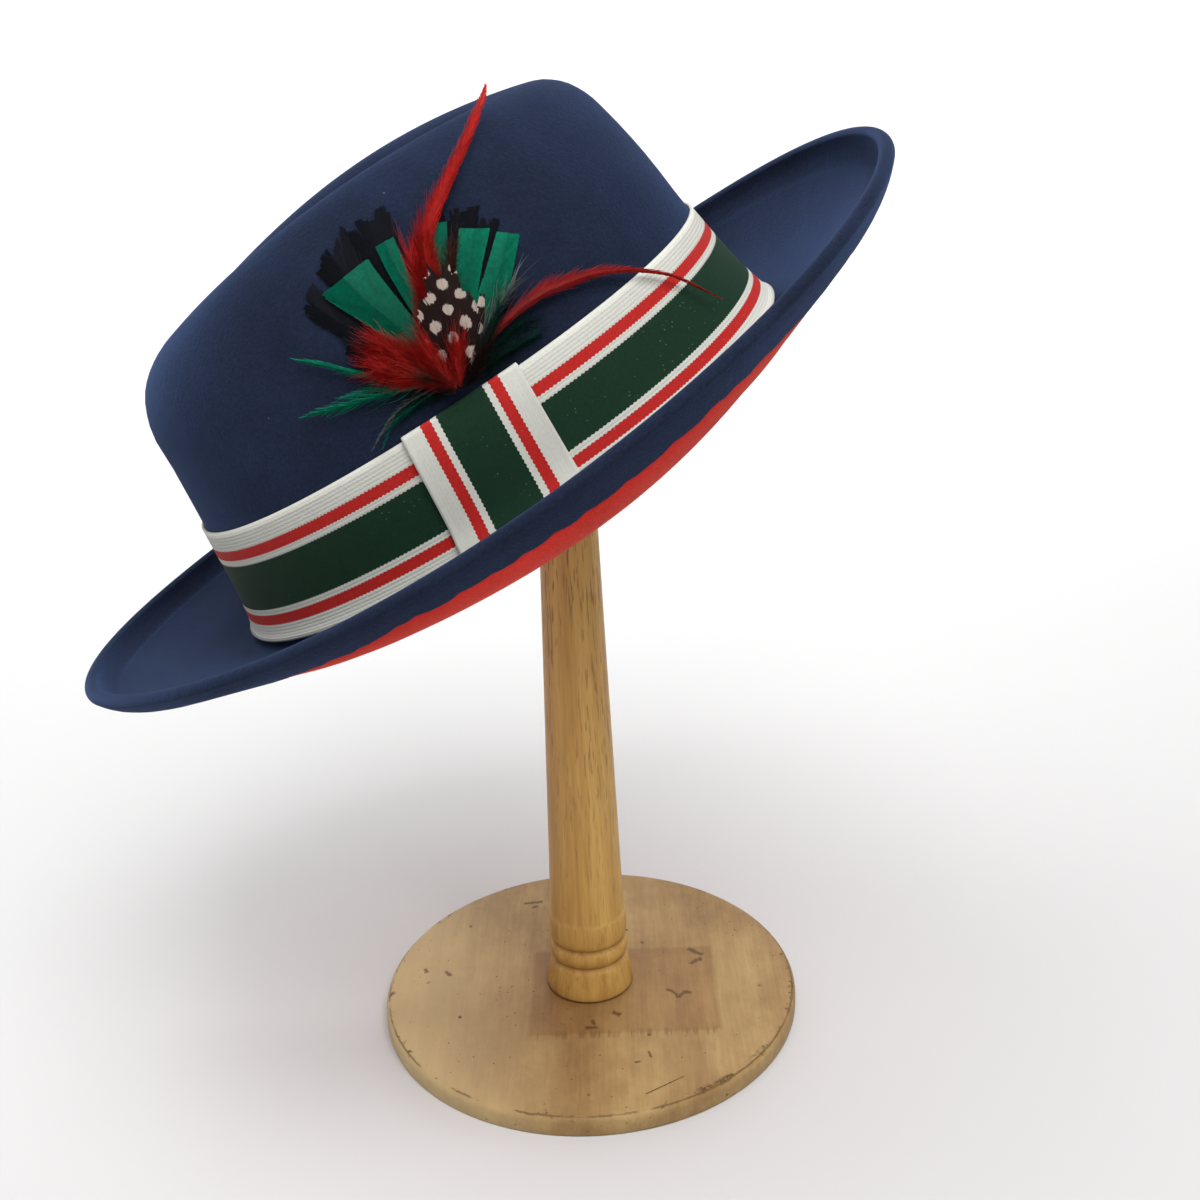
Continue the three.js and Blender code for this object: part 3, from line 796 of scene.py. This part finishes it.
# Feather trim, lowest layer: black vanes clipped across their tips, with dark fluff at their foot.
# The quills of the whole bunch are gathered behind the keeper's top edge and glued to the felt.
BLACK = (srgb(9, 10, 14), srgb(15, 17, 24))
SOOT_GREEN = (srgb(7, 18, 17), srgb(20, 58, 50))
BARB_STEPS = 6
# How each kind of vane carries its barbs, in millimetres and degrees: their step along the quill, their
# width and its share left at the tip, their turn from the quill and the share that curls back, the
# spread of single barbs and of clumps, barbs in a clump, waviness, greatest length, length against
# the vane's width, how far clumps are clipped and barbs stand off, spread of tone, half the quill's width
KINDS = {
    "clipped": (0.26, 0.36, 0.8, 27, 0.3, 0.5, 0.7, (14, 40), 0, 60, (0.98, 1.0), 0.3, 0.04, 0.05, 0),
    "jagged": (0.26, 0.36, 0.5, 24, 0.25, 1.2, 3.0, (5, 24), 2, 60, (0.9, 1.04), 4.0, 0.1, 0.1, 0),
    "spotted": (0.28, 0.4, 0.7, 36, 0.35, 0.8, 1.0, (8, 20), 0, 30, (0.94, 1.03), 0, 0.05, 0.08, 0.25),
    "hackle": (0.15, 0.22, 0.1, 12, 0.4, 2.6, 2.0, (2, 7), 3, 16, (0.55, 1.12), 0, 0.25, 0.14, 0.35),
    "wisp": (0.6, 0.15, 0.2, 15, 0.3, 5, 2.0, (2, 6), 9, 10, (0.4, 1.2), 0, 0.5, 0.2, 0.25),
    "plume": (0.035, 0.12, 0.1, 23, 0.2, 11, 3.5, (2, 5), 16, 12, (0.35, 1.1), 0, 0.7, 0.16, 0),
    "fluff": (0.09, 0.1, 0.15, 28, 0.1, 12, 5.0, (2, 6), 22, 12, (0.3, 1.1), 0, 0.9, 0.2, 0),
}


def feather(quill, widths, base, colours, kind, rng, lift=0.0, slant=0.0):
    """Barbs and quill of one feather as strips of points, dyes and vane places."""
    pitch, wide, taper, turn, curl, stray, split, *more = KINDS[kind]
    clumps, wavy, longest, reaches, cut, loose, tones, bare = more
    quill = np.asarray(quill, float)
    run = smooth_run(quill, step_lengths(quill))
    last = len(quill) - 1
    length = step_lengths(run(np.linspace(0, last, 60))).sum()
    root, tip = (np.array(colour) for colour in colours)
    share = np.linspace(0, 1, BARB_STEPS + 1)

    def half(t):
        return np.interp(t, np.linspace(0, 1, len(widths)), widths) / 2

    def height(t):
        return base + lift * np.clip((t - 0.4) / 0.6, 0, None) ** 2

    def ahead(t):
        along = run(t * last + 0.01) - run(t * last - 0.01)
        return along / np.linalg.norm(along, axis=-1, keepdims=True)

    end = run(np.array([float(last)]))
    lean = math.radians(slant) + np.array([math.atan2(*ahead(np.array([1.0]))[0][::-1])])
    clip = np.concatenate((np.cos(lean), np.sin(lean)))
    strips = []
    for side in (-1, 1):
        # Where each barb leaves the quill, its clump, its turn and its tone
        count = int(length / pitch)
        t = 0.02 + 0.97 * (np.arange(count) + rng.random(count)) / count
        clump = np.searchsorted(np.cumsum(rng.integers(*clumps, count)), np.arange(count), "right")
        angle = turn + rng.normal(0, split, count)[clump] + rng.normal(0, stray, count)
        angle = np.radians(np.clip(angle, 4, 85))
        clump_tone = 1 + tones * rng.normal(0, 1, count)[clump]
        tone = clump_tone * (1 + tones * rng.normal(0, 0.7, count))
        start, forward = run(t * last), ahead(t)
        out = side * np.stack((-forward[:, 1], forward[:, 0]), -1)

        # Its length out to the vane's edge, found in a few rounds, and its wavy way there
        reach = half(t)
        for _ in range(4):
            reach = half(np.minimum(1, t + reach * np.cos(angle) / length)) / np.sin(angle)
        reach = np.minimum(reach, longest) * rng.uniform(*reaches, count)
        swing = np.radians(wavy) * rng.normal(0, 1, (count, 1))
        waves = share[:-1] * rng.uniform(2, 7, (count, 1)) + rng.uniform(0, 6, (count, 1))
        bend = angle[:, None] * (1 - curl * share[:-1]) + swing * np.sin(waves)
        steps = np.cos(bend)[..., None] * forward[:, None] + np.sin(bend)[..., None] * out[:, None]
        path = np.concatenate((np.zeros((count, 1, 2)), np.cumsum(steps, axis=1)), axis=1)
        path = start[:, None] + path * (reach / BARB_STEPS)[:, None, None]

        # The cut across the tip of a clipped feather
        kept = np.full(count, True)
        if cut:
            past = (path - end) @ clip + (cut * rng.random(count)[clump])[:, None]
            kept = past[:, 0] < 0
            shorter = np.where(past[:, -1] > 0, past[:, 0] / (past[:, 0] - past[:, -1] - 1e-9), 1.0)
            path = start[:, None] + (path - start[:, None]) * shorter[:, None, None]

        # Both edges of the barb's strip on the crown, its dye and its place in the vane
        steps = np.concatenate((steps, steps[:, -1:]), axis=1)
        across = np.stack((-steps[..., 1], steps[..., 0]), -1) * wide / 2
        across *= (1 - (1 - taper) * share**1.5)[:, None]
        along = ((path - start[:, None]) * forward[:, None]).sum(-1) / length + t[:, None]
        aside = ((path - start[:, None]) * out[:, None]).sum(-1)
        raised = loose * rng.uniform(0, 1, (count, 1)) * (0.3 + share)
        off = height(along) + raised + 0.15 * (1 - share)
        lines = [
            on_crown(*np.moveaxis(path + k * across, -1, 0), off - k * side * 0.05) for k in (-1, 1)
        ]
        mixed = np.clip(0.1 + 0.55 * along + 0.35 * share, 0, 1)[..., None]
        dye = (root * (1 - mixed) + tip * mixed) * tone[:, None, None]
        vane = np.stack((side * aside, along * length + rng.normal(0, 0.18, (count, 1))), -1)
        strips.append([part[kept] for part in (np.stack(lines, 2), dye, vane)])
    if not bare:
        return strips

    # The quill itself, a low ridge of two strips
    t = np.linspace(0, 0.98, BARB_STEPS + 1)
    beside = ahead(t)[:, ::-1] * (-1, 1) * (bare * (1 - 0.8 * t))[:, None]
    edges = [
        on_crown(*(run(t * last) + k * beside).T, height(t) + 0.1 + bare * (k == 0))
        for k in (-1, 0, 1)
    ]
    ridge = np.stack([np.stack(pair, 1) for pair in zip(edges, edges[1:])])
    vane = np.stack((0 * t, t * length), -1)
    strips.append([ridge, np.tile((root + tip) / 2, (2, BARB_STEPS + 1, 1)), np.tile(vane, (2, 1, 1))])
    return strips


def bunch(base, seed, rows):
    """Strips of a layer's feathers, from rows of kind, colours, quill, widths, height, lift and slant."""
    rng = np.random.default_rng(seed)
    strips = []
    for kind, colours, quill, widths, layer, *more in rows:
        strips += feather(quill, widths, base + layer, colours, kind, rng, *more)
    return strips


def plumage(name, node, finish, strips):
    """One piece of all the strips: a narrow grid for each, bent to its points and dyed."""
    points, dyes, vanes = (np.concatenate(parts) for parts in zip(*strips))
    pattern = bmesh.new()
    bmesh.ops.create_grid(pattern, x_segments=1, y_segments=BARB_STEPS, size=1.0)
    corners = np.array([[v.index for v in face.verts] for face in pattern.faces])
    pattern.free()
    each = 2 * (BARB_STEPS + 1)
    faces = (corners[None] + each * np.arange(len(points))[:, None, None]).reshape(-1, 4)
    mesh = bpy.data.meshes.new(name)
    mesh.from_pydata(points.reshape(-1, 3), [], faces)
    for field, kind, key, rows in (("dye", "FLOAT_COLOR", "color", dyes), ("vane", "FLOAT2", "vector", vanes)):
        layer = mesh.attributes.new(field, kind, "POINT")
        layer.data.foreach_set(key, np.repeat(rows, 2, axis=1).astype(np.float32).ravel())
    bm = bmesh.new()
    bm.from_mesh(mesh)
    bpy.data.meshes.remove(mesh)
    piece(name, bm, finish, node)


def barb_finish(name, roughness, gloss, pattern=None):
    """Dyed barbs, streaked, with a pattern over the dye where one is given."""
    barbs = Finish(name, {"Roughness": roughness, "Specular IOR Level": gloss})
    streaks = barbs.noise(0.7, 3)
    tone = barbs.add("Attribute", {}, attribute_name="dye")
    tone = barbs.darken(0.45, tone, streaks, 0.3, 0.65, srgb(150, 150, 150))
    barbs.give("Base Color", pattern(barbs, tone) if pattern else tone)
    return barbs.material


black_strips = bunch(0.5, 11, (
    ("jagged", BLACK, ((5, 5), (7.5, 34), (9.8, 60)), (3, 11, 20), 0.1, 0, -4),
    ("jagged", BLACK, ((4, 5), (-1, 34), (-6, 58)), (3, 10, 17), 0.25, 0, 10),
    ("jagged", BLACK, ((4, 5.5), (-8, 28), (-18.5, 50)), (3, 7, 10), 0.1, 0, 0),
    ("jagged", BLACK, ((7, 5), (22, 27), (36.5, 46)), (3, 9, 15), 0, 0, 16),
    ("jagged", BLACK, ((7, 5), (25, 24), (44, 39)), (3, 6, 6), 0.2, 0, 10),
    ("jagged", BLACK, ((4, 5.5), (-7, 21), (-16, 33)), (3, 8, 9), 0.2, 0, 0),
    ("fluff", SOOT_GREEN, ((8, 4), (20, 8), (32, 9)), (5, 11, 7), 0.25),
    ("fluff", SOOT_GREEN, ((8, 4), (20, 5), (31, 4)), (6, 9, 4), 0.4),
    ("fluff", BLACK, ((8, 6), (18, 13), (27, 16)), (4, 8, 6), 0.3),
    ("fluff", BLACK, ((4, 4.5), (-5, 14), (-13, 22)), (6, 11, 5), 0.2),
    ("fluff", SOOT_GREEN, ((4, 4.5), (-4, 7), (-12, 6.5)), (5, 9, 4), 0.2),
))
black_barbs = barb_finish("black_barbs", 0.8, 0.1)
plumage("black_feather_layer", "black_feathers", black_barbs, black_strips)

# Green feathers: satin green vanes clipped square, and thin green hackles to the left.
# They lie over the black ones, fanned out from the same root.
GREEN = (srgb(0, 62, 46), srgb(0, 98, 75))
# Painted highlight: the same green with its tips painted lighter, for the two right-hand vanes
GREEN_PAINTED_HIGHLIGHT = (srgb(0, 56, 42), srgb(6, 116, 88))
BRIGHT_GREEN = (srgb(0, 74, 56), srgb(12, 136, 104))
PALE_GREY = (srgb(30, 38, 38), srgb(104, 108, 104))
TEAL = (srgb(0, 40, 34), srgb(6, 92, 76))
green_strips = bunch(1.9, 23, (
    ("clipped", GREEN, ((5, 5), (0.5, 28), (-4.7, 47)), (3, 11, 20.5), 0, 0, -12),
    ("clipped", GREEN, ((6, 5), (9, 30), (11.2, 48.7)), (3, 5.5, 7), 0.25, 0, 4),
    ("clipped", GREEN, ((6, 5), (18, 30), (27.5, 45)), (3, 6, 7), 0, 0, 10),
    # These two right-hand vanes carry the green with the painted highlight at their tips
    ("clipped", GREEN_PAINTED_HIGHLIGHT, ((7, 5), (23, 25), (36, 37.8)), (3, 7, 10), 0.25, 0, 14),
    ("clipped", GREEN_PAINTED_HIGHLIGHT, ((7.5, 5.5), (28, 20), (43.5, 31.5)), (3, 9, 7), 0.1, 0, 14),
    ("hackle", BRIGHT_GREEN, ((2, 10), (-15.8, 22.2), (-23.6, 30), (-29.5, 35.3)), (1.5, 2.4, 2.0, 0.5), 0.3),
    ("hackle", BRIGHT_GREEN, ((2, 9), (-16.6, 14.7), (-26.4, 17.1), (-38.9, 20.8)),
     (1.2, 1.8, 1.3, 0.4), 0.2),
    ("wisp", BRIGHT_GREEN, ((2, 9), (-16.6, 14.9), (-26.4, 17.4), (-35, 20)), (3, 8, 5, 1.2), 0.3),
    ("wisp", BRIGHT_GREEN, ((2, 9), (-14, 16), (-24, 19)), (2, 4, 1.2), 0.2),
    ("wisp", TEAL, ((0, 7), (-10.2, 6.4), (-16.6, 5), (-21.6, 1.4)), (1.5, 2.4, 1.6, 0.5), 0.3),
    ("wisp", PALE_GREY, ((0, 8), (-12.7, 7.9), (-18, 5.9), (-24.7, 2.4)), (1, 1.5, 1, 0.4), 0.3),
))
green_barbs = barb_finish("green_barbs", 0.55, 0.06)
plumage("green_feather_layer", "green_feathers", green_barbs, green_strips)

# Red feathers: a fluffy red plume, one long hackle up the crown and one bent over the band.
# They spring from the same root over the green ones, with fluff over the spotted feather's foot.
RED = (srgb(124, 12, 12), srgb(204, 36, 29))
PLUME_RED = (srgb(108, 15, 14), srgb(184, 36, 30))
DARK_RED = (srgb(26, 8, 11), srgb(200, 34, 28))
RUST = (srgb(48, 22, 18), srgb(84, 46, 38))
LONG_HACKLE = ((6, 6), (13, 30), (20, 40), (29, 47.5), (45, 57.5), (58, 64.5), (67.3, 68.2))
SIDE_HACKLE = ((7, 6), (26.6, 11.8), (36, 12.5), (46, 11.1), (59, 7.4), (71, 0.7), (82, -9), (90, -22.6))
red_strips = bunch(3.35, 37, (
    ("plume", PLUME_RED, ((5, 7), (-2, 14), (-8.5, 18.5)), (6, 12, 9), 0.2),
    ("plume", PLUME_RED, ((5, 7), (-1, 17), (-5.5, 23.5)), (6, 12, 9), 0),
    ("plume", PLUME_RED, ((5, 7), (0, 11), (-4, 13)), (5, 8, 6), 0.4),
    ("plume", PLUME_RED, ((5, 7), (5.5, 16), (8, 23)), (5, 8, 6), 0.25),
    ("plume", PLUME_RED, ((6, 7), (11, 22), (15.5, 34)), (6, 10, 6), 0.1),
    ("plume", PLUME_RED, ((6, 7), (13, 27), (19.5, 39)), (6, 11, 6), 0.3),
    ("wisp", RED, ((6, 8), (11, 26), (16, 42)), (4, 8, 7), 0.3),
    ("fluff", RUST, ((9, 18), (18, 28), (26, 36)), (4, 9, 5), 0),
    ("hackle", RED, LONG_HACKLE, (5, 10, 8, 6.2, 4.6, 3.2, 0.5), 0, 7.0),
    ("hackle", DARK_RED, SIDE_HACKLE, (1.5, 2.4, 3.8, 4.4, 3.0, 2.0, 1.2, 0.4), 0, 1.5),
    ("wisp", PALE_GREY, ((16, 11), (26, 16), (35, 19)), (2, 8, 6), 0.2),
    ("plume", PLUME_RED, ((5, 4), (4, 10), (3.5, 15)), (5, 9, 7), 2.3),
    ("plume", PLUME_RED, ((6, 4), (8, 8.5), (10.5, 12)), (5, 8, 5), 2.4),
))
red_barbs = barb_finish("red_barbs", 0.6, 0.2)
plumage("red_feather_layer", "red_feathers", red_barbs, red_strips)

# Spotted feather: a small dark brown vane with round cream spots at the front of the bunch.
# Its rounded tip lies over the red plume, with dark down at its foot.
BROWN = (srgb(26, 12, 11), srgb(34, 17, 15))
CREAM = srgb(172, 158, 148)
SPOT_STEP = (8.4, 7.6)
SPOT_START = 3.6
SPOT_RADIUS = 1.6
SPOT_SOFT = 0.15


def spots_on(barbs, tone):
    """Cream spots in staggered rows along the quill."""
    across, along, _ = barbs.axes(barbs.add("Attribute", {}, 1, attribute_name="vane"))
    half_across, half_along = (step / 2 for step in SPOT_STEP)
    x = barbs.math("PINGPONG", across, half_across)
    y = barbs.math("PINGPONG", barbs.minus(along, SPOT_START), half_along)
    corner = barbs.hypot(x, y)
    middle = barbs.hypot(barbs.minus(x, half_across), barbs.minus(y, half_along))
    uneven = barbs.noise(0.35, 2)
    distance = barbs.plus(barbs.math("MINIMUM", corner, middle), barbs.minus(uneven, 0.5))
    return barbs.mix(barbs.rise(distance, SPOT_RADIUS + SPOT_SOFT, SPOT_RADIUS - SPOT_SOFT), tone, CREAM)


spotted_strips = bunch(4.8, 41, (
    ("spotted", BROWN, ((10, 7), (18, 14), (25, 21)), (1.5, 3, 3.6, 3, 1.5), -1.0),
    ("spotted", BROWN, ((7, 5), (13, 19), (18.5, 31)), (5, 13, 18.5, 19, 16, 7), 0),
))
down_strips = bunch(4.8, 43, (
    ("fluff", SOOT_GREEN, ((12, 7), (20, 11), (27, 16)), (3, 6, 3), -0.6),
    ("fluff", BROWN, ((6, 3), (8, 8), (9, 13)), (5, 8, 4), 0.5),
    ("fluff", RUST, ((4, 3), (3, 8), (0, 11)), (4, 7, 4), 0.7),
    ("fluff", BROWN, ((7, 3), (12, 6), (17, 9)), (4, 7, 4), 0.5),
))
# All the down gets one place in the vane, clear of the spots, so that it has none
for _, _, vane in down_strips:
    vane[:] = (SPOT_STEP[0] / 4, SPOT_START)
spotted_barbs = barb_finish("spotted_barbs", 0.6, 0.12, spots_on)
plumage(
    "spotted_feather_layer", "guinea_feather", spotted_barbs, spotted_strips + down_strips
)

# Studio floor: a wide plain pale sweep under the stand, curved up into a wall all round.
# It is matt painted board and isn't part of the object.
FLOOR_RADIUS = 2400.0
FLOOR_RING = 400.0
FLOOR_STEPS = 96
SWEEP = 900.0
SWEEP_STEPS = 12
WALL = 2600.0
sweep_turns = [math.pi / 2 * k / SWEEP_STEPS for k in range(SWEEP_STEPS + 1)]
floor_profile = [(0, 0), (FLOOR_RING, 0)]
floor_profile += [(FLOOR_RADIUS + SWEEP * math.sin(a), SWEEP * (1 - math.cos(a))) for a in sweep_turns]
floor_profile += [(FLOOR_RADIUS + SWEEP, WALL)]
floor_bm = turned(floor_profile, FLOOR_STEPS)
bmesh.ops.reverse_faces(floor_bm, faces=floor_bm.faces)
floor_paint = Finish("floor_paint", {
    "Base Color": srgb(214, 214, 214), "Roughness": 0.9, "Specular IOR Level": 0.1,
})
floor = shaded("studio_floor", floor_bm, floor_paint.material)

# Studio light: a soft box high at the front, a weaker one high at the left and one on the wall,
# in a dim white room.
ROOM_LIGHT = 0.26
# Place and size in metres, power in watts, and the point that the box faces
LIGHTS = {
    "high_box": ((0.15, -0.8, 1.5), 1.0, 22.0, (-0.02, 0, 0.2)),
    "left_box": ((-0.55, -0.05, 1.4), 1.0, 8.0, (-0.02, 0, 0.25)),
    "wall_box": ((0.2, 1.2, 2.2), 1.6, 90.0, (0.4, 3.3, 0.7)),
}
world = bpy.data.worlds.new("studio")
bpy.context.scene.world = world
world.use_nodes = True
room = world.node_tree.nodes["Background"]
room.inputs["Color"].default_value = (1, 1, 1, 1)
room.inputs["Strength"].default_value = ROOM_LIGHT
for name, (spot, size, power, target) in LIGHTS.items():
    lamp = bpy.data.lights.new(name, "AREA")
    lamp.size = size
    lamp.energy = power
    box = put(name, lamp)
    box.location = spot
    box.rotation_euler = (Vector(target) - Vector(spot)).to_track_quat("-Z", "Y").to_euler()
bpy.context.scene.view_settings.view_transform = "Standard"

# Camera: at the photograph's place, a little above the hat and turned towards its near side.
# Yaw, pitch and roll are in radians, from a level view along +Y.
CAMERA_AT = (-50.7, -474.4, 342.9)
CAMERA_YAW = 0.12778
CAMERA_PITCH = -0.34848
CAMERA_ROLL = -0.04196
CAMERA_LENS = 42.0
CAMERA_SENSOR = 36.0
view_ahead = Vector((
    math.sin(CAMERA_YAW) * math.cos(CAMERA_PITCH),
    math.cos(CAMERA_YAW) * math.cos(CAMERA_PITCH),
    math.sin(CAMERA_PITCH),
))
level = Vector((math.cos(CAMERA_YAW), -math.sin(CAMERA_YAW), 0))
upright = level.cross(view_ahead)
view_right = math.cos(CAMERA_ROLL) * level + math.sin(CAMERA_ROLL) * upright
view_up = view_right.cross(view_ahead)
view_turn = Matrix((view_right, view_up, -view_ahead)).transposed()
lens = bpy.data.cameras.new("camera")
lens.lens = CAMERA_LENS
lens.sensor_width = CAMERA_SENSOR
camera = put("camera", lens)
camera.matrix_world = Matrix.Translation(Vector(CAMERA_AT) * MM) @ view_turn.to_4x4()
bpy.context.scene.camera = camera
